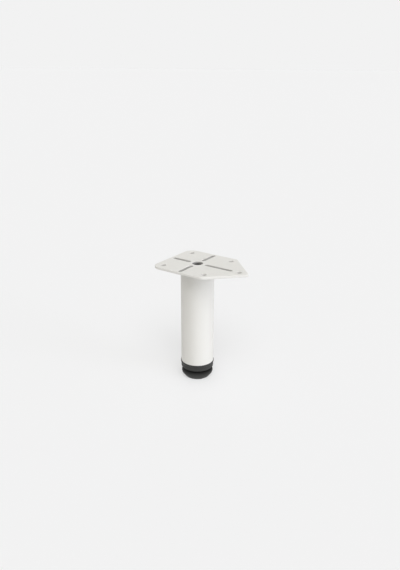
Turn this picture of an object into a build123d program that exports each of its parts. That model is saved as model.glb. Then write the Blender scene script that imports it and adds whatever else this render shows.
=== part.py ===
from build123d import *
import math
import os

# Steel furniture leg with a screw-adjusted foot.
#
# A pressed plate is screwed under a cabinet, its tip pointing outwards (+X). A round tube is welded
# under the plate. A plastic plug closes the tube's lower end and holds a moulded-in steel nut, and the
# plastic foot turns on its threaded stud in that nut to level the cabinet.
# Millimetres, +Z up. The origin is the centre of the foot's floor face, on the tube's axis, with the
# foot screwed home against the plug.

# Driving dimensions of the tube
tube_diameter = 28.0
tube_wall = 1.5
tube_length = 86.4

# Driving dimensions of the mounting plate
plate_thickness = 2.0
plate_width = 54.5
plate_rear = 27.25
plate_shoulder = 21.75
plate_tip = 49.0
rear_corner_radius = 7.5
shoulder_corner_radius = 4.0
tip_corner_radius = 2.5
sheet_edge_chamfer = 0.25
screw_hole_diameter = 4.5
screw_hole_spacing = 40.0
tip_hole_reach = 40.0
centre_hole_diameter = 9.0

# Driving dimensions of the four stiffening grooves pressed into the plate
groove_width = 3.4
groove_depth = 1.8
groove_draft = 6.0
groove_rim_chamfer = 0.2
groove_side_sheet = 1.4
groove_end_sheet = 0.4
groove_centre_land = 2.6
groove_edge_land = 1.6
groove_hole_land = 4.0
rib_height = 0.8
rib_draft = 35.0

# Driving dimensions of the weld
weld_leg = 1.5
weld_end_land = 0.8

# Driving dimensions of the plug and its nut
collar_height = 6.1
collar_overhang = 0.4
collar_rim_height = 1.4
collar_slope_height = 0.9
collar_step = 0.45
collar_edge_chamfer = 0.75
spigot_length = 12.0
spigot_core_wall = 2.6
spigot_rib_count = 8
spigot_rib_thickness = 1.6
spigot_chamfer = 0.7
nut_across_flats = 16.0
nut_height = 8.0
nut_shelf = 4.0

# Driving dimensions of the stud
stud_diameter = 10.0
stud_chamfer = 0.85
stud_spare_length = 1.0
thread_pitch = 1.5
adjustment_turns = 7

# Driving dimensions of the foot
foot_diameter = 27.1
foot_height = 8.9
foot_boss_diameter = 19.0
foot_boss_height = 0.9
foot_shoulder_radius = 3.4
foot_shoulder_steps = 6
foot_band_height = 0.85
foot_side_angle = 38.0
foot_edge_chamfer = 0.5
foot_sole = 2.2

# Clearances
running_clearance = 0.05
plug_clearance = 0.05
stud_hole_clearance = 0.3
rib_notch_clearance = 0.2

# Heights above the floor
collar_bottom = foot_height
tube_bottom = collar_bottom + collar_height
plate_bottom = tube_bottom + tube_length
plate_top = plate_bottom + plate_thickness
plug_top = tube_bottom + spigot_length
nut_bottom = collar_bottom + nut_shelf
adjustment_travel = thread_pitch * adjustment_turns
stud_top = plug_top + adjustment_travel + stud_spare_length

# Radii and half widths that several pieces share
tube_radius = tube_diameter / 2
tube_bore_radius = tube_radius - tube_wall
plate_half_width = plate_width / 2
screw_hole_radius = screw_hole_diameter / 2
stud_radius = stud_diameter / 2
rib_width = groove_width + 2 * groove_side_sheet

# A length that passes right through any piece
through_length = 3 * plate_top

# Each groove runs out from the centre hole's land: its direction in degrees, and its outer end
groove_start = centre_hole_diameter / 2 + groove_centre_land
groove_ends = {
    0: tip_hole_reach - screw_hole_radius - groove_hole_land,
    90: plate_half_width - groove_edge_land,
    180: plate_rear - groove_edge_land,
    270: plate_half_width - groove_edge_land,
}


def edges_at(solid, height):
    """The edges of a solid that lie level at one height."""
    return solid.edges().filter_by_position(Axis.Z, height - 0.001, height + 0.001)


def within(length, wall):
    """A chamfer's length, limited to half of the wall that it is cut in."""
    return min(length, wall / 2)


def turned(outline):
    """A solid turned about the Z axis from an outline of (radius, height) points."""
    return revolve(Plane.XZ * outline, Axis.Z)


def groove_slot(direction, end, height, side_margin, end_margin):
    """A groove's round-ended outline at a height, grown by a margin at its sides and one at its ends."""
    length = end - groove_start + 2 * end_margin
    middle = (groove_start + end) / 2
    outline = Pos(middle, 0, height) * SlotOverall(length, groove_width + 2 * side_margin)
    return Rot(0, 0, direction) * outline


def plate_outline():
    """The plate's house-shaped outline, with its rounded corners."""
    corners = [
        (-plate_rear, -plate_half_width),
        (plate_shoulder, -plate_half_width),
        (plate_tip, 0),
        (plate_shoulder, plate_half_width),
        (-plate_rear, plate_half_width),
    ]
    outline = make_face(Polyline(*corners, close=True))
    outline = fillet(outline.vertices().group_by(Axis.X)[0], rear_corner_radius)
    outline = fillet(outline.vertices().sort_by(Axis.X)[-1:], tip_corner_radius)
    shoulders = [outline.vertices().sort_by_distance(corners[i])[0] for i in (1, 3)]
    return fillet(shoulders, shoulder_corner_radius)


def screw_hole_centres():
    """The four screw holes on their square, and the one near the tip."""
    half = screw_hole_spacing / 2
    square = [(x, y) for x in (-half, half) for y in (-half, half)]
    return square + [(tip_hole_reach, 0)]


def mounting_plate():
    """Pressed sheet: grooves in the top face, their ribs standing out of the underside, six holes."""
    plate = extrude(Pos(0, 0, plate_bottom) * plate_outline(), plate_thickness)
    sheet_edges = edges_at(plate, plate_top) + edges_at(plate, plate_bottom)
    plate = chamfer(sheet_edges, within(sheet_edge_chamfer, plate_thickness))
    for direction, end in groove_ends.items():
        rib = groove_slot(direction, end, plate_bottom, groove_side_sheet, groove_end_sheet)
        groove = groove_slot(direction, end, plate_top, 0, 0)
        plate += extrude(rib, -rib_height, taper=rib_draft)
        plate -= extrude(groove, -groove_depth, taper=groove_draft)
    rims = [edge for wire in plate.faces().sort_by(Axis.Z)[-1].inner_wires() for edge in wire.edges()]
    plate = chamfer(rims, within(groove_rim_chamfer, groove_depth))
    for x, y in screw_hole_centres():
        plate -= Pos(x, y, 0) * Cylinder(screw_hole_radius, through_length)
    return plate - Cylinder(centre_hole_diameter / 2, through_length)


def leg_tube():
    """Round tube, its upper end notched where it straddles the plate's ribs."""
    ring = Circle(tube_radius) - Circle(tube_bore_radius)
    tube = extrude(Pos(0, 0, tube_bottom) * ring, tube_length)
    notch_width = rib_width + 2 * rib_notch_clearance
    notch_depth = rib_height + rib_notch_clearance
    for direction in groove_ends:
        notch = Box(tube_diameter, notch_width, 2 * notch_depth)
        tube -= Rot(0, 0, direction) * Pos(tube_radius, 0, plate_bottom) * notch
    return tube


def weld_beads():
    """Four fillet welds in the corner between tube and plate, one between each pair of ribs."""
    corner = (tube_radius, plate_bottom)
    on_tube = (tube_radius, plate_bottom - weld_leg)
    on_plate = (tube_radius + weld_leg, plate_bottom)
    section = make_face(Polyline(on_tube, corner, on_plate, close=True))
    rib_angle = math.degrees(math.asin((rib_width / 2 + weld_end_land) / tube_radius))
    bead = revolve(Plane.XZ * section, Axis.Z, revolution_arc=90 - 2 * rib_angle)
    return Compound([Rot(0, 0, direction + rib_angle) * bead for direction in groove_ends])


def hex_prism(across_flats, bottom, height):
    """A hexagonal prism on the axis."""
    outline = RegularPolygon(across_flats / 2, 6, major_radius=False)
    return extrude(Pos(0, 0, bottom) * outline, height)


def plug_nut():
    """Hexagon nut; its bore stands for the thread, with the stud's running clearance."""
    nut = hex_prism(nut_across_flats, nut_bottom, nut_height)
    return nut - Cylinder(stud_radius + running_clearance, through_length)


def tube_plug():
    """Moulded plug: a collar under the tube's end, and a ribbed spigot inside the tube."""
    spigot_radius = tube_bore_radius - plug_clearance
    core_radius = nut_across_flats / math.sqrt(3) + spigot_core_wall - plug_clearance
    rim_radius = tube_radius + collar_overhang
    low_radius = rim_radius - collar_step
    slope_top = tube_bottom - collar_rim_height
    low_corner = (low_radius, collar_bottom)
    collar = make_face(
        Polyline(
            (0, collar_bottom),
            low_corner,
            (low_radius, slope_top - collar_slope_height),
            (rim_radius, slope_top),
            (rim_radius, tube_bottom),
            (0, tube_bottom),
            close=True,
        )
    )
    collar = chamfer(collar.vertices().sort_by_distance(low_corner)[0], collar_edge_chamfer)
    envelope = make_face(
        Polyline(
            (0, tube_bottom),
            (spigot_radius, tube_bottom),
            (spigot_radius, plug_top - spigot_chamfer),
            (spigot_radius - spigot_chamfer, plug_top),
            (0, plug_top),
            close=True,
        )
    )
    rib = Pos(spigot_radius / 2, 0, 0) * Rectangle(spigot_radius, spigot_rib_thickness)
    star = Circle(core_radius)
    for i in range(spigot_rib_count):
        star += Rot(0, 0, 360 * i / spigot_rib_count) * rib
    spigot = turned(envelope) & extrude(Pos(0, 0, tube_bottom) * star, spigot_length)
    stud_hole = Cylinder(stud_radius + stud_hole_clearance, through_length)
    pocket = hex_prism(nut_across_flats + 2 * plug_clearance, nut_bottom, nut_height + plug_clearance)
    return turned(collar) + spigot - stud_hole - pocket


def stud_cylinder(clearance):
    """The stud's cylinder, from its seat in the foot up to its free end, grown by a clearance."""
    outline = Pos(0, 0, foot_sole) * Circle(stud_radius + clearance)
    return extrude(outline, stud_top - foot_sole)


def threaded_stud():
    """Steel stud at its thread's outer diameter, with a chamfered upper end."""
    stud = stud_cylinder(0)
    return chamfer(edges_at(stud, stud_top), stud_chamfer)


def foot_base():
    """Moulded foot: boss, rounded shoulder, short band and conical side down to the flat floor face."""
    foot_radius = foot_diameter / 2
    boss_radius = foot_boss_diameter / 2
    shoulder = foot_height - foot_boss_height
    widest = shoulder - foot_shoulder_radius
    shoulder_centre = foot_radius - foot_shoulder_radius
    # The shoulder's round is drawn in a few straight steps, which keeps the turned foot light
    step_angles = [math.radians(90 * i / foot_shoulder_steps) for i in range(foot_shoulder_steps + 1)]
    shoulder_round = [
        (
            shoulder_centre + foot_shoulder_radius * math.sin(angle),
            widest + foot_shoulder_radius * math.cos(angle),
        )
        for angle in step_angles
    ]
    band_bottom = widest - foot_band_height
    floor_corner = (foot_radius - band_bottom * math.tan(math.radians(foot_side_angle)), 0)
    profile = make_face(
        Polyline(
            (0, 0),
            (0, foot_height),
            (boss_radius, foot_height),
            (boss_radius, shoulder),
            *shoulder_round,
            (foot_radius, band_bottom),
            floor_corner,
            close=True,
        )
    )
    profile = chamfer(profile.vertices().sort_by_distance(floor_corner)[0], foot_edge_chamfer)
    return turned(profile) - stud_cylinder(running_clearance)


pieces = {
    "mounting_plate": mounting_plate(),
    "leg_tube": leg_tube(),
    "weld_beads": weld_beads(),
    "tube_plug": tube_plug(),
    "plug_nut": plug_nut(),
    "threaded_stud": threaded_stud(),
    "foot_base": foot_base(),
}

os.makedirs("parts", exist_ok=True)
for name, shape in pieces.items():
    export_step(shape, f"parts/{name}.step")
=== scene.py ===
import math
import bpy
from mathutils import Matrix, Vector


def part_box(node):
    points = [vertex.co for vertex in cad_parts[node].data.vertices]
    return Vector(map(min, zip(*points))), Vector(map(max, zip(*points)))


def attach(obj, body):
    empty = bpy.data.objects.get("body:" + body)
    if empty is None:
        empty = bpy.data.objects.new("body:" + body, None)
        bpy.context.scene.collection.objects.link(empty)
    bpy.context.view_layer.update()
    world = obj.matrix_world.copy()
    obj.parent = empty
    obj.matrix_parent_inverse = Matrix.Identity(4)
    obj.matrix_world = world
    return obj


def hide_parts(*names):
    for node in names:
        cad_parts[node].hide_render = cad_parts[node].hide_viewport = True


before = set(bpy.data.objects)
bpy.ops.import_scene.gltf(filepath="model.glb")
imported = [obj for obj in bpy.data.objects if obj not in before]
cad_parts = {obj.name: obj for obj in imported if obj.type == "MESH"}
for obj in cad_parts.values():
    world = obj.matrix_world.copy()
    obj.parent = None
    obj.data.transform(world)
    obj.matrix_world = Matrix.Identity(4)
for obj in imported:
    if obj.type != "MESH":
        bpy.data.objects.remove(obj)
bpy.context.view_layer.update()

# Steel furniture leg with a screw-adjusted foot: finishes, turned and threaded pieces, studio and camera.
# Everything is in metres, in the frame of the solids: +Z up, +X towards the plate's tip.
MM = 0.001

# Sizes read from the solids
plate_low, plate_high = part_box("mounting_plate")
tube_low, tube_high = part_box("leg_tube")
plug_low, plug_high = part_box("tube_plug")
nut_low, nut_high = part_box("plug_nut")
stud_low, stud_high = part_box("threaded_stud")
weld_low, weld_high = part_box("weld_beads")
foot_low, foot_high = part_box("foot_base")

# Sizes of the pressed plate
plate_shoulder = 21.75 * MM
plate_tip = 49.0 * MM
rear_corner_radius = 7.5 * MM
shoulder_corner_radius = 4.0 * MM
tip_corner_radius = 2.5 * MM
sheet_edge_radius = 0.35 * MM
screw_hole_radius = 2.25 * MM
screw_hole_half_spacing = 20.0 * MM
tip_hole_reach = 40.0 * MM
centre_hole_radius = 4.5 * MM
hole_edge_radius = 0.25 * MM
groove_half_width = 1.7 * MM
groove_depth = 1.8 * MM
groove_draft = math.radians(6)
groove_rim_radius = 0.3 * MM
groove_floor_radius = 0.7 * MM
groove_start = 7.1 * MM
groove_end = 25.65 * MM
tip_groove_end = 33.75 * MM
rib_half_width = 3.1 * MM
rib_end_sheet = 0.4 * MM
rib_draft = math.radians(35)
rib_edge_radius = 0.45 * MM
rib_root_radius = 0.3 * MM

# Flat lands that end the plate's profiles, past their roundings
edge_land = 0.6 * MM
hole_land = 0.5 * MM
groove_rim_land = 0.6 * MM
groove_floor_land = 1.0 * MM
rib_crest_land = 1.2 * MM
rib_root_land = 0.3 * MM

# Sizes of the turned pieces
collar_overlap_step = 0.45 * MM
collar_rim_height = 1.4 * MM
collar_slope_height = 0.9 * MM
collar_edge_radius = 0.9 * MM
collar_slope_radius = 0.5 * MM
collar_rim_radius = 0.35 * MM
spigot_core_radius = 11.79 * MM
spigot_radius = 12.45 * MM
spigot_rib_count = 8
spigot_rib_thickness = 1.6 * MM
stud_hole_radius = 5.3 * MM
stud_seat_clearance = 0.05 * MM
nut_clearance = 0.05 * MM
foot_boss_radius = 9.5 * MM
foot_boss_height = 0.9 * MM
foot_shoulder_radius = 3.3 * MM
foot_belly_height = 3.75 * MM
foot_belly_radius = 2.4 * MM
foot_floor_radius = 10.63 * MM
foot_floor_edge = 0.8 * MM
small_edge = 0.15 * MM

# Sizes of the stud's thread: half a crest and a flank in shares of the pitch, end chamfers in thread depths
thread_pitch = 1.5 * MM
thread_depth = 0.92 * MM
thread_crest_share = 1 / 16
thread_flank_share = 5 / 16
thread_chamfer_depths = 1.05

# Sizes of the weld, with its crown from 0, a flat face, to 1, a round one
weld_end_land = 0.8 * MM
weld_ripples = 11
weld_run_out_power = 10
weld_low_crown = 0.1
weld_ripple_crown = 0.8

# Steps of the meshes
merge_distance = 0.002 * MM
turned_segments = 128
screw_hole_half_steps = 28
centre_hole_half_steps = 40
groove_half_steps = 24
stud_segments = 56
thread_rows_per_turn = 16
weld_steps = 180
weld_rows = 10
weld_face_rows = 8

# Powder coat: patterns per metre, tones, gloss and relief
coat_drift_scale = 45
coat_peel_scale = 900
coat_grain_scale = 4200
coat_peel_share = 0.75
coat_shade = (0.765, 0.76, 0.733)
coat_white = (0.795, 0.79, 0.767)
coat_roughness = 0.36
coat_drift_roughness = 0.08
coat_grain_roughness = 0.1
coat_specular = 0.45
coat_bump = 0.12
coat_bump_depth = 0.06 * MM

# Painted shade on the coat: in the grooves and the centre hole, fully from a third of their depth, less so
# in the screw holes, and inside the tube, where the steel is bare and painted near black as shade
recess_shade_colour = (0.46, 0.456, 0.443)
recess_shade_ramp = 3
screw_hole_shade = 0.4
bare_steel_and_shade = (0.03, 0.029, 0.028)
tube_inside = 13.2 * MM

# Moulded plastic: patterns per metre, tones, gloss and relief
plastic_cloud_scale = 130
plastic_grain_scale = 2600
plastic_black = (0.029, 0.0288, 0.0282)
plastic_grey = (0.040, 0.0396, 0.0388)
plastic_roughness = 0.42
plastic_cloud_roughness = 0.12
plastic_grain_roughness = 0.1
plastic_specular = 0.34
plastic_bump = 0.2
plastic_bump_depth = 0.04 * MM

# Painted shade on the plastic, which is also rougher there: in the gap over the foot's shoulder, up to the
# collar's lower edge
gap_shade_black = (0.006, 0.006, 0.006)
gap_shade_roughness = 0.3
gap_shade_low = 4.0 * MM
gap_shade_high = 7.2 * MM
gap_shade_collar_edge = 0.65 * MM

# Zinc plating: patterns per metre, tones, gloss and relief
zinc_cloud_scale = 260
zinc_line_scale = (300, 300, 9000)
zinc_blue = (0.55, 0.56, 0.58)
zinc_warm = (0.70, 0.70, 0.69)
zinc_roughness = 0.22
zinc_cloud_roughness = 0.16
zinc_line_roughness = 0.08
zinc_bump = 0.1
zinc_bump_depth = 0.02 * MM

# The photograph's frame and camera
photo_height = 570
focal_pixels = 574.43
sensor_width = 36.0
camera_place = Vector((257.13, -369.13, 255.94)) * MM
camera_azimuth = math.radians(34.599)
camera_pitch = math.radians(20.913)
camera_roll = math.radians(0.257)
camera_clip_start = 10 * MM

# Studio light: a high lamp in front, a low one to the camera's right, a faint one behind, and a surround
# that is brightest at the horizon. The low lamps stay out of the gloss, because they glare on the plate.
background_white = (0.888, 0.888, 0.888)
horizon_colour = (0.935, 0.91, 0.86)
zenith_colour = (0.24, 0.24, 0.22)
zenith_power = 1.0
lamps = {
    "high_lamp": {
        "colour": (1.0, 0.995, 1.0),
        "strength": 1.46,
        "spread": 40,
        "azimuth": 42,
        "elevation": 53,
        "in_gloss": True,
    },
    "side_lamp": {
        "colour": (0.88, 0.91, 1.0),
        "strength": 1.47,
        "spread": 30,
        "azimuth": 98,
        "elevation": 8,
        "in_gloss": False,
    },
    "back_lamp": {
        "colour": (1.0, 1.0, 1.0),
        "strength": 0.3,
        "spread": 50,
        "azimuth": 218,
        "elevation": 8,
        "in_gloss": False,
    },
}

# The floor: its tone for the light that it throws back, its reach, and how much of its shadow shows
floor_bounce = (0.6, 0.6, 0.6)
floor_half_width = 40.0
shadow_share = 0.45


class Wire:
    """An output socket. Sums and products of wires and numbers add Math nodes to their tree."""

    def __init__(self, graph, socket):
        self.graph = graph
        self.socket = socket

    def out(self, name):
        """Another output of the same node."""
        return Wire(self.graph, self.socket.node.outputs[name])

    def __add__(self, other):
        return self.graph.math("ADD", self, other)

    def __sub__(self, other):
        return self.graph.math("SUBTRACT", self, other)

    def __rsub__(self, other):
        return self.graph.math("SUBTRACT", other, self)

    def __mul__(self, other):
        return self.graph.math("MULTIPLY", self, other)

    def __truediv__(self, other):
        return self.graph.math("DIVIDE", self, other)

    def __rtruediv__(self, other):
        return self.graph.math("DIVIDE", other, self)

    __radd__ = __add__
    __rmul__ = __mul__


class Graph:
    """A node tree, shader or geometry, that is written as expressions."""

    def __init__(self, tree):
        self.tree = tree

    def node(self, kind, settings=None, inputs=None, output=0):
        """Adds a node, its settings first, then its sockets by name or number, and gives an output."""
        made = self.tree.nodes.new(kind)
        for name, value in (settings or {}).items():
            setattr(made, name, value)
        for key, value in (inputs or {}).items():
            self.feed(made.inputs[key], value)
        return Wire(self, made.outputs[output]) if len(made.outputs) else made

    def feed(self, socket, value):
        """Links a socket to a wire or to several, or sets it to a value. A colour gets its alpha here."""
        wires = value if isinstance(value, list) else [value]
        for wire in wires:
            if isinstance(wire, Wire):
                self.tree.links.new(wire.socket, socket)
            elif socket.type == "RGBA":
                socket.default_value = (*wire, 1)
            else:
                socket.default_value = wire

    def math(self, operation, *values):
        return self.node("ShaderNodeMath", {"operation": operation}, dict(enumerate(values)))

    def vector(self, x, y, z):
        return self.node("ShaderNodeCombineXYZ", {}, {0: x, 1: y, 2: z})

    def axes(self, vector):
        """The three parts of a vector."""
        parts = self.node("ShaderNodeSeparateXYZ", {}, {0: vector})
        return parts, parts.out("Y"), parts.out("Z")

    def noise(self, place, scale, detail):
        """Noise from 0 to 1, in features of about 1 / scale metres."""
        sizes = {"Vector": place, "Scale": scale, "Detail": detail}
        return self.node("ShaderNodeTexNoise", {}, sizes)

    def blend(self, share, first, second):
        """A colour between two."""
        return self.node("ShaderNodeMix", {"data_type": "RGBA"}, {0: share, 6: first, 7: second}, 2)

    def bump(self, height, strength, depth):
        """A normal that shows fine relief."""
        relief = {"Strength": strength, "Distance": depth, "Height": height}
        return self.node("ShaderNodeBump", {}, relief)


# Finishes


def finish(name, paint):
    """A new material, whose Principled shader a paint function sets up."""
    material = bpy.data.materials.new(name)
    material.use_nodes = True
    graph = Graph(material.node_tree)
    shader = material.node_tree.nodes["Principled BSDF"]
    place = graph.node("ShaderNodeTexCoord", {}, {}, "Object")
    for socket, value in paint(graph, place).items():
        graph.feed(shader.inputs[socket], value)
    return material


def powder_coat(graph, place):
    """Satin white powder coat: tone drift, orange peel and grain, painted shade in grooves and holes, bare
    steel painted near black inside the tube.
    """
    drift = graph.noise(place, coat_drift_scale, detail=2)
    peel = graph.noise(place, coat_peel_scale, detail=2)
    grain = graph.noise(place, coat_grain_scale, detail=1)
    relief = peel * coat_peel_share + grain * (1 - coat_peel_share)
    # Painted shade: the coat turns grey with depth in the grooves and holes
    recess = graph.node("ShaderNodeAttribute", {"attribute_name": "recess"}, {}, "Fac")
    recess_shade_share = graph.math("MINIMUM", recess * recess_shade_ramp, 1)
    white = graph.blend(recess_shade_share, graph.blend(drift, coat_shade, coat_white), recess_shade_colour)
    # Bare steel inside the tube, painted near black as shade
    x, y, z = graph.axes(place)
    radius = graph.math("SQRT", x * x + y * y)
    inside = graph.math("LESS_THAN", radius, tube_inside) * graph.math("LESS_THAN", z, tube_high.z)
    return {
        "Base Color": graph.blend(inside, white, bare_steel_and_shade),
        "Roughness": coat_roughness + drift * coat_drift_roughness + grain * coat_grain_roughness,
        "Specular IOR Level": coat_specular,
        "Normal": graph.bump(relief, coat_bump, coat_bump_depth),
    }


def moulded_plastic(graph, place):
    """Black moulded plastic: fine spark-eroded grain and cloudy gloss, painted shade and more roughness in
    the gap over the foot.
    """
    cloud = graph.noise(place, plastic_cloud_scale, detail=2)
    grain = graph.noise(place, plastic_grain_scale, detail=3)
    _, _, z = graph.axes(place)
    # Painted shade: the plastic darkens and roughens in the gap under the collar
    rise = {"Value": z, "From Min": gap_shade_low, "From Max": gap_shade_high}
    gap_shade = graph.node("ShaderNodeMapRange", {"interpolation_type": "SMOOTHSTEP"}, rise)
    gap_shade = gap_shade * graph.math("LESS_THAN", z, plug_low.z + gap_shade_collar_edge)
    black = graph.blend(cloud, plastic_black, plastic_grey)
    roughness = plastic_roughness + cloud * plastic_cloud_roughness + grain * plastic_grain_roughness
    return {
        "Base Color": graph.blend(gap_shade, black, gap_shade_black),
        "Roughness": roughness + gap_shade * gap_shade_roughness,
        "Specular IOR Level": plastic_specular,
        "Normal": graph.bump(grain, plastic_bump, plastic_bump_depth),
    }


def zinc_plate(graph, place):
    """Bright zinc plating over turned steel: fine lines round the axis and a cloudy sheen."""
    cloud = graph.noise(place, zinc_cloud_scale, detail=3)
    stretched = graph.node("ShaderNodeMapping", {}, {"Vector": place, "Scale": zinc_line_scale})
    lines = graph.noise(stretched, 1, detail=2)
    return {
        "Base Color": graph.blend(cloud, zinc_blue, zinc_warm),
        "Metallic": 1.0,
        "Roughness": zinc_roughness + cloud * zinc_cloud_roughness + lines * zinc_line_roughness,
        "Normal": graph.bump(lines, zinc_bump, zinc_bump_depth),
    }


coat = finish("powder_coat_white", powder_coat)
plastic = finish("moulded_plastic_black", moulded_plastic)
zinc = finish("zinc_plate_bright", zinc_plate)

# Geometry trees


def new_tree(name, sizes):
    """A geometry tree with named inputs, as its graph and its input wires by name."""
    tree = bpy.data.node_groups.new(name, "GeometryNodeTree")
    tree.interface.new_socket("Result", in_out="OUTPUT", socket_type="NodeSocketGeometry")
    for size, kind in sizes.items():
        tree.interface.new_socket(size, in_out="INPUT", socket_type="NodeSocket" + kind)
    graph = Graph(tree)
    first = graph.node("NodeGroupInput")
    return graph, {size: first.out(size) for size in sizes}


def close_tree(graph, mesh, material):
    """Ends a tree: instances realized, seams and poles closed, material set."""
    whole = sealed(graph, realized(graph, mesh))
    painted = graph.node("GeometryNodeSetMaterial", {}, {"Geometry": whole, "Material": material})
    graph.node("NodeGroupOutput", {}, {0: painted})
    return graph.tree


def realized(graph, mesh):
    """A mesh whose instances are made real."""
    return graph.node("GeometryNodeRealizeInstances", {}, {0: mesh})


def sealed(graph, mesh):
    """A mesh whose touching points are merged."""
    return graph.node("GeometryNodeMergeByDistance", {}, {"Geometry": mesh, "Distance": merge_distance})


def joined(graph, *parts):
    return graph.node("GeometryNodeJoinGeometry", {}, {0: list(parts)})


def copies_round(graph, mesh, count, step, first=0):
    """Copies of a mesh about the Z axis, a step in radians apart, from a first step on."""
    points = graph.node("GeometryNodePoints", {}, {"Count": count})
    turn = (graph.node("GeometryNodeInputIndex") + first) * step
    copies = {"Points": points, "Instance": mesh, "Rotation": graph.vector(0, 0, turn)}
    return graph.node("GeometryNodeInstanceOnPoints", {}, copies)


def patch(graph, across, along):
    """A grid of quads, and its two coordinates from 0 to 1."""
    grid = graph.node("GeometryNodeMeshGrid", {}, {"Vertices X": across + 1, "Vertices Y": along + 1})
    u, v, _ = graph.axes(grid.out("UV Map"))
    return grid, u, v


def around(graph, radius, turn, height):
    """The point at a radius, a turn in radians and a height."""
    return graph.vector(radius * graph.math("COSINE", turn), radius * graph.math("SINE", turn), height)


def placed(graph, mesh, position):
    """A smooth-shaded mesh with its points at a position."""
    moved = graph.node("GeometryNodeSetPosition", {}, {"Geometry": mesh, "Position": position})
    return graph.node("GeometryNodeSetShadeSmooth", {}, {0: moved})


def point_count(graph, points):
    return graph.node("GeometryNodeAttributeDomainSize", {"component": "MESH"}, {0: points}, "Point Count")


def point_at(graph, points, index, name=None):
    """The three parts of a listed point's position, or of its named vector."""
    value = graph.node("GeometryNodeInputPosition")
    if name:
        vector = {"data_type": "FLOAT_VECTOR"}
        value = graph.node("GeometryNodeInputNamedAttribute", vector, {"Name": name}, "Attribute")
    sample = {"Geometry": points, "Value": value, "Index": index}
    return graph.axes(graph.node("GeometryNodeSampleIndex", {"data_type": "FLOAT_VECTOR"}, sample))


def turned_mesh(graph, outline, segments):
    """The mesh that an outline's points sweep about the Z axis."""
    rows = point_count(graph, outline) - 1
    grid, u, v = patch(graph, segments, rows)
    radius, _, height = point_at(graph, outline, graph.math("ROUND", v * rows))
    return placed(graph, grid, around(graph, radius, u * math.tau, height))


def slot_ring(graph, profile, radius, half_length, half_steps):
    """A closed strip: a profile of offsets and heights, carried round a circle or a round-ended slot."""
    rows = point_count(graph, profile) - 1
    columns = 2 * (half_steps + 1)
    grid, u, v = patch(graph, columns, rows)
    column = graph.math("MODULO", graph.math("ROUND", u * columns), columns)
    far = graph.math("GREATER_THAN", column, half_steps + 0.5)
    turn = ((column - far * (half_steps + 1)) / half_steps + far - 0.5) * math.pi
    offset, _, height = point_at(graph, profile, graph.math("ROUND", v * rows))
    x, y, z = graph.axes(around(graph, radius + offset, turn, height))
    return placed(graph, grid, graph.vector(x + half_length * (1 - far * 2), y, z))


def edge_ring(graph, outline, profile):
    """A closed strip: a profile of offsets and heights, carried round an outline."""
    rows = point_count(graph, profile) - 1
    columns = point_count(graph, outline)
    grid, u, v = patch(graph, columns, rows)
    column = graph.math("MODULO", graph.math("ROUND", u * columns), columns)
    x, y, _ = point_at(graph, outline, column)
    out_x, out_y, _ = point_at(graph, outline, column, "outward")
    offset, _, height = point_at(graph, profile, graph.math("ROUND", v * rows))
    return placed(graph, grid, graph.vector(x + out_x * offset, y + out_y * offset, height))


def lid(graph, strips, height, face_up):
    """A flat face that fills the open rims of strips at one height."""
    _, _, level = graph.axes(graph.node("GeometryNodeInputPosition"))
    open_edge = graph.math("LESS_THAN", graph.node("GeometryNodeInputMeshEdgeNeighbors"), 2)
    rim = open_edge * graph.math("COMPARE", level, height, merge_distance)
    loops = graph.node("GeometryNodeMeshToCurve", {}, {"Mesh": strips, "Selection": rim})
    flat = graph.node("GeometryNodeFillCurve", {}, {"Curve": loops})
    lifted = {"Geometry": flat, "Translation": graph.vector(0, 0, height)}
    flat = graph.node("GeometryNodeTransform", {}, lifted)
    flat = flat if face_up else graph.node("GeometryNodeFlipFaces", {}, {"Mesh": flat})
    return graph.node("GeometryNodeSetShadeSmooth", {}, {0: flat})


def recessed(graph, mesh, depth):
    """A mesh that carries how deep it lies in a groove, for the painted shade of its finish."""
    stored = {"Geometry": mesh, "Name": "recess", "Value": depth}
    return graph.node("GeometryNodeStoreNamedAttribute", {}, stored)


def pressings(graph, size, profile, half_width, margin):
    """The rings of the four grooves or ribs: three alike, and a longer one towards the tip."""
    start = size["Groove Start"]
    rings = []
    for end, count, first in ((size["Tip Groove End"], 1, 0), (size["Groove End"], 3, 1)):
        half_length = (end - start) / 2 + margin - half_width
        ring = slot_ring(graph, profile, half_width, half_length, groove_half_steps)
        middle = graph.vector((end + start) / 2, 0, 0)
        ring = graph.node("GeometryNodeTransform", {}, {"Geometry": ring, "Translation": middle})
        rings.append(copies_round(graph, ring, count, math.pi / 2, first))
    return joined(graph, *rings)


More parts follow.
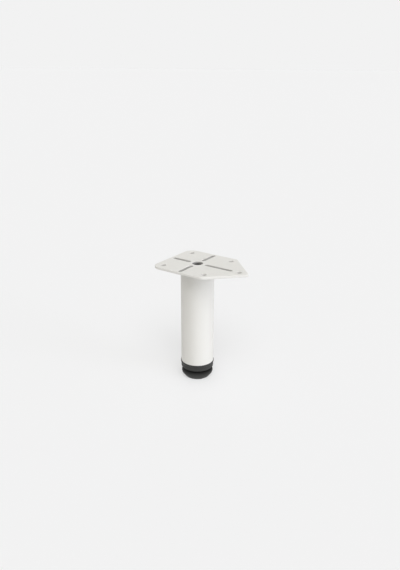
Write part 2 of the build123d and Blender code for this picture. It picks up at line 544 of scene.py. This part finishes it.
def plate_tree():
    """The pressed plate: strips round its edge, holes, grooves and ribs, and flat faces between them."""
    profiles = ("Edge Profile", "Hole Profile", "Groove Profile", "Rib Profile")
    lengths = (
        "Screw Hole Radius",
        "Centre Hole Radius",
        "Groove Half Width",
        "Groove Start",
        "Groove End",
        "Tip Groove End",
        "Rib Half Width",
        "Rib End Sheet",
        "Top",
        "Groove Floor",
        "Bottom",
        "Rib Bottom",
    )
    sizes = {"Outline": "Geometry", "Screw Holes": "Object"}
    sizes.update({name: "Object" for name in profiles})
    sizes.update({name: "Float" for name in lengths})
    graph, size = new_tree("pressed_plate", {**sizes, "Material": "Material"})
    points = {
        name: graph.node("GeometryNodeObjectInfo", {}, {"Object": size[name]}, "Geometry")
        for name in (*profiles, "Screw Holes")
    }
    edge = edge_ring(graph, size["Outline"], points["Edge Profile"])
    hole_profile = points["Hole Profile"]
    screw_hole = slot_ring(graph, hole_profile, size["Screw Hole Radius"], 0, screw_hole_half_steps)
    copies = {"Points": points["Screw Holes"], "Instance": screw_hole}
    holes = realized(graph, graph.node("GeometryNodeInstanceOnPoints", {}, copies))
    centre_hole = slot_ring(graph, hole_profile, size["Centre Hole Radius"], 0, centre_hole_half_steps)
    grooves = pressings(graph, size, points["Groove Profile"], size["Groove Half Width"], 0)
    ribs = pressings(graph, size, points["Rib Profile"], size["Rib Half Width"], size["Rib End Sheet"])
    # Each groove, hole and groove floor carries its depth, for the coat's painted shade
    _, _, height = graph.axes(graph.node("GeometryNodeInputPosition"))
    depth = (size["Top"] - height) / (size["Top"] - size["Groove Floor"])
    above_underside = graph.math("GREATER_THAN", height, size["Bottom"] + small_edge)
    depth = graph.math("MINIMUM", depth, 1) * above_underside
    sunk = realized(graph, joined(graph, grooves, centre_hole))
    shaded_holes = recessed(graph, holes, depth * depth * screw_hole_shade)
    parts = joined(graph, edge, recessed(graph, sunk, depth), shaded_holes, ribs)
    strips = sealed(graph, realized(graph, parts))
    faces = joined(
        graph,
        strips,
        lid(graph, strips, size["Top"], True),
        recessed(graph, lid(graph, strips, size["Groove Floor"], True), 1.0),
        lid(graph, strips, size["Bottom"], False),
        lid(graph, strips, size["Rib Bottom"], False),
    )
    return close_tree(graph, faces, size["Material"])


def turned_tree():
    """A piece turned from the outline that its object holds as points."""
    sizes = {"Outline": "Geometry", "Segments": "Int", "Material": "Material"}
    graph, size = new_tree("turned_piece", sizes)
    return close_tree(graph, turned_mesh(graph, size["Outline"], size["Segments"]), size["Material"])


def plug_tree():
    """The plug: its turned collar and core, and the spigot's ribs set round the core."""
    graph, size = new_tree(
        "ribbed_plug",
        {
            "Outline": "Geometry",
            "Segments": "Int",
            "Rib Count": "Int",
            "Rib Thickness": "Float",
            "Rib Inner Radius": "Float",
            "Rib Outer Radius": "Float",
            "Rib Bottom": "Float",
            "Rib Top": "Float",
            "Material": "Material",
        },
    )
    inner = size["Rib Inner Radius"]
    outer = size["Rib Outer Radius"]
    low = size["Rib Bottom"]
    high = size["Rib Top"]
    bar_size = graph.vector(outer - inner, size["Rib Thickness"], high - low)
    bar = graph.node("GeometryNodeMeshCube", {}, {"Size": bar_size})
    middle = graph.vector((outer + inner) / 2, 0, (high + low) / 2)
    rib = graph.node("GeometryNodeTransform", {}, {"Geometry": bar, "Translation": middle})
    ribs = copies_round(graph, rib, size["Rib Count"], math.tau / size["Rib Count"])
    core = turned_mesh(graph, size["Outline"], size["Segments"])
    return close_tree(graph, joined(graph, core, ribs), size["Material"])


def thread_tree():
    """A threaded stud: the grid's rows follow a right-hand helix, and its ends are chamfered and closed."""
    graph, size = new_tree(
        "threaded_stud",
        {
            "Outer Radius": "Float",
            "Thread Depth": "Float",
            "Pitch": "Float",
            "Bottom": "Float",
            "Top": "Float",
            "Segments": "Int",
            "Rows Per Turn": "Int",
            "Material": "Material",
        },
    )
    turns_below = 2
    turns_above = 1
    full_turns = graph.math("CEIL", (size["Top"] - size["Bottom"]) / size["Pitch"])
    turns = full_turns + (turns_below + turns_above)
    rows = turns * size["Rows Per Turn"]
    grid, u, v = patch(graph, size["Segments"], rows)
    rise = v * turns
    height = size["Bottom"] + size["Pitch"] * (rise + u - turns_below)
    height = graph.math("MINIMUM", graph.math("MAXIMUM", height, size["Bottom"]), size["Top"])
    from_crest = graph.math("PINGPONG", rise, 0.5)
    flank = (from_crest - thread_crest_share) / thread_flank_share
    slope = graph.node("ShaderNodeClamp", {}, {"Value": flank})
    radius = size["Outer Radius"] - size["Thread Depth"] * slope
    end_distance = graph.math("MINIMUM", size["Top"] - height, height - size["Bottom"])
    end_radius = size["Outer Radius"] - size["Thread Depth"] * thread_chamfer_depths + end_distance
    inside = graph.math("GREATER_THAN", v, 0) * graph.math("LESS_THAN", v, 1)
    radius = graph.math("MINIMUM", radius, end_radius) * inside
    thread = placed(graph, grid, around(graph, radius, u * math.tau, height))
    return close_tree(graph, thread, size["Material"])


def weld_tree():
    """Four weld beads in the corner of tube and plate, rippled along their length, with run-out ends."""
    graph, size = new_tree(
        "weld_beads",
        {
            "Tube Radius": "Float",
            "Plate Height": "Float",
            "Leg": "Float",
            "Start": "Float",
            "Sweep": "Float",
            "Ripples": "Int",
            "Material": "Material",
        },
    )
    face_share = weld_face_rows / weld_rows
    back_start = (weld_face_rows + 0.5) / weld_rows
    grid, u, v = patch(graph, weld_steps, weld_rows)
    from_middle = graph.math("ABSOLUTE", u * 2 - 1)
    run_out = graph.math("SQRT", 1 - graph.math("POWER", from_middle, weld_run_out_power))
    ripple = graph.math("ABSOLUTE", graph.math("SINE", u * size["Ripples"] * math.pi))
    leg = size["Leg"] * run_out
    face_turn = graph.node("ShaderNodeClamp", {}, {"Value": v / face_share}) * (math.pi / 2)
    cosine = graph.math("COSINE", face_turn)
    sine = graph.math("SINE", face_turn)
    chord = 1 / (cosine + sine)
    crown = chord + (1 - chord) * (weld_low_crown + ripple * weld_ripple_crown)
    back = graph.node("ShaderNodeClamp", {}, {"Value": (v - face_share) / (1 - face_share)}) * 2
    on_back = graph.math("GREATER_THAN", v, back_start)
    out_back = graph.math("MAXIMUM", back - 1, 0)
    down_back = graph.math("MAXIMUM", 1 - back, 0)
    out = crown * cosine * (1 - on_back) + out_back * on_back
    down = crown * sine * (1 - on_back) + down_back * on_back
    radius = size["Tube Radius"] + out * leg
    turn = size["Start"] + (1 - u) * size["Sweep"]
    height = size["Plate Height"] - down * leg
    bead = placed(graph, grid, around(graph, radius, turn, height))
    return close_tree(graph, copies_round(graph, bead, 4, math.pi / 2), size["Material"])


def point_list(name, points, outward=()):
    """A scratch object that hands points, and outward vectors if any, to a geometry tree."""
    mesh = bpy.data.meshes.new(name)
    mesh.from_pydata([tuple(point) for point in points], [], [])
    if outward:
        vectors = mesh.attributes.new("outward", "FLOAT_VECTOR", "POINT")
        for item, direction in zip(vectors.data, outward):
            item.vector = direction
    holder = bpy.data.objects.new(name, mesh)
    bpy.context.scene.collection.objects.link(holder)
    return holder


def grown(name, tree, values, outline=()):
    """Runs a geometry tree once, on an outline's points if it needs one, and gives its mesh as a piece."""
    seed = outline or point_list(name + "_seed", ())
    modifier = seed.modifiers.new("tree", "NODES")
    modifier.node_group = tree
    for item in tree.interface.items_tree:
        if item.in_out == "INPUT" and item.name in values:
            modifier[item.identifier] = values[item.name]
    evaluated = seed.evaluated_get(bpy.context.evaluated_depsgraph_get())
    mesh = bpy.data.meshes.new_from_object(evaluated)
    lists = [value for value in values.values() if isinstance(value, bpy.types.Object)]
    for holder in (seed, *lists):
        bpy.data.objects.remove(holder)
    piece = bpy.data.objects.new(name, mesh)
    bpy.context.scene.collection.objects.link(piece)
    return piece


def seat(piece, body, node):
    """Puts a piece on its body, in place of a node's solid, which it hides."""
    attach(piece, body)
    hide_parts(node)


# Outlines and profiles


def rounded_outline(name, corners):
    """Points of an outline in (radius, height, rounding) corners: arcs, with a held point either side."""
    hold = 0.03 * MM
    arc_step = math.radians(7)
    points = [Vector(corners[0][:2])]
    for before, corner, after in zip(corners, corners[1:], corners[2:]):
        middle = Vector(corner[:2])
        rounding = corner[2]
        back = (Vector(before[:2]) - middle).normalized()
        ahead = (Vector(after[:2]) - middle).normalized()
        half_opening = back.angle(ahead) / 2
        reach = rounding / math.tan(half_opening)
        centre = middle + (back + ahead).normalized() * (rounding / math.sin(half_opening))
        spoke = middle + back * reach - centre
        last_spoke = middle + ahead * reach - centre
        turn = math.pi - 2 * half_opening
        sense = math.copysign(1, spoke.cross(last_spoke))
        count = max(3, math.ceil(turn / arc_step))
        points.append(middle + back * (reach + hold))
        for i in range(count + 1):
            points.append(centre + Matrix.Rotation(sense * turn * i / count, 2) @ spoke)
        points.append(middle + ahead * (reach + hold))
    points.append(Vector(corners[-1][:2]))
    return point_list(name, [(point.x, 0, point.y) for point in points])


def plug_outline():
    """Collar, core, nut pocket and stud hole, as a closed outline that starts on the hole's wall."""
    rim = plug_high.x
    low = rim - collar_overlap_step
    collar_top = tube_low.z
    slope_top = collar_top - collar_rim_height
    pocket = nut_high.x + nut_clearance
    hole = stud_hole_radius
    start = (hole, (plug_low.z + nut_low.z) / 2, 0)
    return rounded_outline(
        "plug_outline",
        [
            start,
            (hole, plug_low.z, small_edge),
            (low, plug_low.z, collar_edge_radius),
            (low, slope_top - collar_slope_height, collar_slope_radius),
            (rim, slope_top, collar_slope_radius),
            (rim, collar_top, collar_rim_radius),
            (spigot_core_radius, collar_top, small_edge),
            (spigot_core_radius, plug_high.z, 2 * small_edge),
            (hole, plug_high.z, small_edge),
            (hole, nut_high.z + nut_clearance, small_edge),
            (pocket, nut_high.z + nut_clearance, small_edge),
            (pocket, nut_low.z, small_edge),
            (hole, nut_low.z, small_edge),
            start,
        ],
    )


def foot_outline():
    """Floor face, conical side, belly, shoulder, boss and the stud's blind seat, from axis to axis."""
    radius = foot_high.x
    shoulder = foot_high.z - foot_boss_height
    seat_radius = stud_high.x + stud_seat_clearance
    return rounded_outline(
        "foot_outline",
        [
            (0, foot_low.z),
            (foot_floor_radius, foot_low.z, foot_floor_edge),
            (radius, foot_belly_height, foot_belly_radius),
            (radius, shoulder, foot_shoulder_radius),
            (foot_boss_radius, shoulder, small_edge),
            (foot_boss_radius, foot_high.z, small_edge),
            (seat_radius, foot_high.z, small_edge),
            (seat_radius, stud_low.z, small_edge),
            (0, stud_low.z),
        ],
    )


def plate_outline():
    """The plate's outline, counter-clockwise, as points with their outward directions."""
    half_width = plate_high.y
    corners = [
        (plate_low.x, -half_width, rear_corner_radius),
        (plate_shoulder, -half_width, shoulder_corner_radius),
        (plate_tip, 0, tip_corner_radius),
        (plate_shoulder, half_width, shoulder_corner_radius),
        (plate_low.x, half_width, rear_corner_radius),
    ]
    hold = 0.05 * MM
    arc_step = math.radians(4)
    points = []
    outward = []
    for before, corner, after in zip(corners[-1:] + corners, corners, corners[1:] + corners[:1]):
        middle = Vector((corner[0], corner[1], 0))
        arriving = (middle - Vector((before[0], before[1], 0))).normalized()
        leaving = (Vector((after[0], after[1], 0)) - middle).normalized()
        turn = arriving.angle(leaving)
        reach = corner[2] * math.tan(turn / 2)
        first = Vector((arriving.y, -arriving.x, 0))
        last = Vector((leaving.y, -leaving.x, 0))
        centre = middle - arriving * reach - first * corner[2]
        count = math.ceil(turn / arc_step)
        points.append(middle - arriving * (reach + hold))
        outward.append(first)
        for i in range(count + 1):
            direction = Matrix.Rotation(turn * i / count, 3, "Z") @ first
            points.append(centre + direction * corner[2])
            outward.append(direction)
        points.append(middle + leaving * (reach + hold))
        outward.append(last)
    return point_list("plate_outline", points, outward)


def screw_holes():
    """The four screw holes on their square, and the one near the tip."""
    half = screw_hole_half_spacing
    square = [(x, y, 0) for x in (-half, half) for y in (-half, half)]
    return point_list("screw_holes", square + [(tip_hole_reach, 0, 0)])


# Pieces

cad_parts["leg_tube"].data.materials[0] = coat
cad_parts["plug_nut"].data.materials[0] = zinc

plate_top = plate_high.z
plate_bottom = tube_high.z
rib_bottom = plate_low.z
groove_floor = plate_top - groove_depth
groove_taper = groove_depth * math.tan(groove_draft)
rib_taper = (plate_bottom - rib_bottom) * math.tan(rib_draft)
edge_corners = [
    (-edge_land, plate_bottom),
    (0, plate_bottom, sheet_edge_radius),
    (0, plate_top, sheet_edge_radius),
    (-edge_land, plate_top),
]
hole_corners = [
    (hole_land, plate_top),
    (0, plate_top, hole_edge_radius),
    (0, plate_bottom, hole_edge_radius),
    (hole_land, plate_bottom),
]
groove_corners = [
    (groove_rim_land, plate_top),
    (0, plate_top, groove_rim_radius),
    (-groove_taper, groove_floor, groove_floor_radius),
    (-groove_taper - groove_floor_land, groove_floor),
]
rib_corners = [
    (-rib_taper - rib_crest_land, rib_bottom),
    (-rib_taper, rib_bottom, rib_edge_radius),
    (0, plate_bottom, rib_root_radius),
    (rib_root_land, plate_bottom),
]
plate = grown(
    "pressed_plate",
    plate_tree(),
    {
        "Screw Holes": screw_holes(),
        "Edge Profile": rounded_outline("edge_profile", edge_corners),
        "Hole Profile": rounded_outline("hole_profile", hole_corners),
        "Groove Profile": rounded_outline("groove_profile", groove_corners),
        "Rib Profile": rounded_outline("rib_profile", rib_corners),
        "Screw Hole Radius": screw_hole_radius,
        "Centre Hole Radius": centre_hole_radius,
        "Groove Half Width": groove_half_width,
        "Groove Start": groove_start,
        "Groove End": groove_end,
        "Tip Groove End": tip_groove_end,
        "Rib Half Width": rib_half_width,
        "Rib End Sheet": rib_end_sheet,
        "Top": plate_top,
        "Groove Floor": groove_floor,
        "Bottom": plate_bottom,
        "Rib Bottom": rib_bottom,
        "Material": coat,
    },
    plate_outline(),
)
seat(plate, "leg", "mounting_plate")

plug = grown(
    "ribbed_plug",
    plug_tree(),
    {
        "Segments": turned_segments,
        "Rib Count": spigot_rib_count,
        "Rib Thickness": spigot_rib_thickness,
        "Rib Inner Radius": spigot_core_radius - 2 * small_edge,
        "Rib Outer Radius": spigot_radius,
        "Rib Bottom": tube_low.z,
        "Rib Top": plug_high.z - 4 * small_edge,
        "Material": plastic,
    },
    plug_outline(),
)
seat(plug, "leg", "tube_plug")

foot_values = {"Segments": turned_segments, "Material": plastic}
foot = grown("round_foot", turned_tree(), foot_values, foot_outline())
seat(foot, "foot", "foot_base")

stud = grown(
    "thread_stud",
    thread_tree(),
    {
        "Outer Radius": stud_high.x,
        "Thread Depth": thread_depth,
        "Pitch": thread_pitch,
        "Bottom": stud_low.z,
        "Top": stud_high.z,
        "Segments": stud_segments,
        "Rows Per Turn": thread_rows_per_turn,
        "Material": zinc,
    },
)
seat(stud, "stud", "threaded_stud")

weld_clear_angle = math.asin((rib_half_width + weld_end_land) / tube_high.x)
weld = grown(
    "rippled_welds",
    weld_tree(),
    {
        "Tube Radius": tube_high.x,
        "Plate Height": weld_high.z,
        "Leg": weld_high.z - weld_low.z,
        "Start": weld_clear_angle,
        "Sweep": math.pi / 2 - 2 * weld_clear_angle,
        "Ripples": weld_ripples,
        "Material": coat,
    },
)
seat(weld, "leg", "weld_beads")

# Studio


def toward(azimuth, elevation):
    """The direction of a place seen from the part, in the views' own angles."""
    level = math.cos(elevation)
    return Vector((math.sin(azimuth) * level, -math.cos(azimuth) * level, math.sin(elevation)))


def seen_directly(graph):
    """1 for rays from the camera, from gloss and through glass, 0 for rays that gather light."""
    path = graph.node("ShaderNodeLightPath", {}, {}, "Is Camera Ray")
    seen = path + path.out("Is Glossy Ray") + path.out("Is Transmission Ray")
    return graph.math("MINIMUM", seen, 1)


def surround():
    """The surround: a sky of soft light, and the plain background for what the camera and gloss see."""
    world = bpy.data.worlds.new("surround")
    world.use_nodes = True
    graph = Graph(world.node_tree)
    _, _, rise = graph.axes(graph.node("ShaderNodeTexCoord", {}, {}, "Generated"))
    share = graph.math("POWER", graph.math("MAXIMUM", rise, 0), zenith_power)
    light = graph.blend(share, horizon_colour, zenith_colour)
    shown = graph.blend(seen_directly(graph), light, background_white)
    graph.feed(world.node_tree.nodes["Background"].inputs["Color"], shown)
    bpy.context.scene.world = world


def soft_lamp(name, colour, strength, spread, azimuth, elevation, in_gloss):
    """A wide lamp, far off, at angles in degrees, that gloss shows or leaves out."""
    lamp = bpy.data.lights.new(name, "SUN")
    lamp.energy = strength
    lamp.color = colour
    lamp.angle = math.radians(spread)
    holder = bpy.data.objects.new(name, lamp)
    holder.rotation_mode = "QUATERNION"
    direction = toward(math.radians(azimuth), math.radians(elevation))
    holder.rotation_quaternion = direction.to_track_quat("Z", "Y")
    holder.visible_glossy = in_gloss
    bpy.context.scene.collection.objects.link(holder)


def floor_light():
    """The light on the open floor: the surround, weighed by how steeply it falls, and the lamps."""
    zenith_share = 2 / (2 + zenith_power)
    light = Vector(horizon_colour).lerp(Vector(zenith_colour), zenith_share)
    for lamp in lamps.values():
        level = lamp["strength"] * math.sin(math.radians(lamp["elevation"])) / math.pi
        light += Vector(lamp["colour"]) * level
    return light


def pale_floor():
    """A plain floor under the foot, as pale as the background, with a soft shadow, clear from below."""
    paint = tuple(white / light for white, light in zip(background_white, floor_light()))
    half = floor_half_width
    corners = [(-half, -half, 0), (half, -half, 0), (half, half, 0), (-half, half, 0)]
    mesh = bpy.data.meshes.new("floor")
    mesh.from_pydata(corners, [], [(0, 1, 2, 3)])
    floor = bpy.data.objects.new("floor", mesh)
    bpy.context.scene.collection.objects.link(floor)
    material = bpy.data.materials.new("floor_paint")
    material.use_nodes = True
    graph = Graph(material.node_tree)
    shader = material.node_tree.nodes["Principled BSDF"]
    seen = seen_directly(graph)
    graph.feed(shader.inputs["Base Color"], graph.blend(seen, floor_bounce, paint))
    shader.inputs["Roughness"].default_value = 1.0
    shader.inputs["Specular IOR Level"].default_value = 0.0
    glow = graph.node("ShaderNodeEmission", {}, {"Color": background_white})
    mixed = {0: seen * (1 - shadow_share), 1: Wire(graph, shader.outputs["BSDF"]), 2: glow}
    upper = graph.node("ShaderNodeMixShader", {}, mixed)
    below = graph.node("ShaderNodeNewGeometry", {}, {}, "Backfacing")
    clear = graph.node("ShaderNodeBsdfTransparent")
    surface = graph.node("ShaderNodeMixShader", {}, {0: below, 1: upper, 2: clear})
    graph.feed(material.node_tree.nodes["Material Output"].inputs["Surface"], surface)
    mesh.materials.append(material)
    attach(floor, "foot")


def photo_camera():
    """The camera at the photograph's place and angle, its sensor's width along the picture's height."""
    lens = bpy.data.cameras.new("photo_camera")
    lens.sensor_width = sensor_width
    lens.lens = focal_pixels / photo_height * sensor_width
    lens.clip_start = camera_clip_start
    lens.clip_end = 4 * floor_half_width
    camera = bpy.data.objects.new("photo_camera", lens)
    turn = Matrix.Rotation(camera_azimuth, 4, "Z")
    tilt = Matrix.Rotation(math.pi / 2 - camera_pitch, 4, "X")
    roll = Matrix.Rotation(camera_roll, 4, "Z")
    camera.matrix_world = Matrix.Translation(camera_place) @ turn @ tilt @ roll
    bpy.context.scene.collection.objects.link(camera)
    bpy.context.scene.camera = camera


surround()
for lamp_name, settings in lamps.items():
    soft_lamp(lamp_name, **settings)
pale_floor()
photo_camera()
bpy.context.scene.view_settings.view_transform = "Standard"
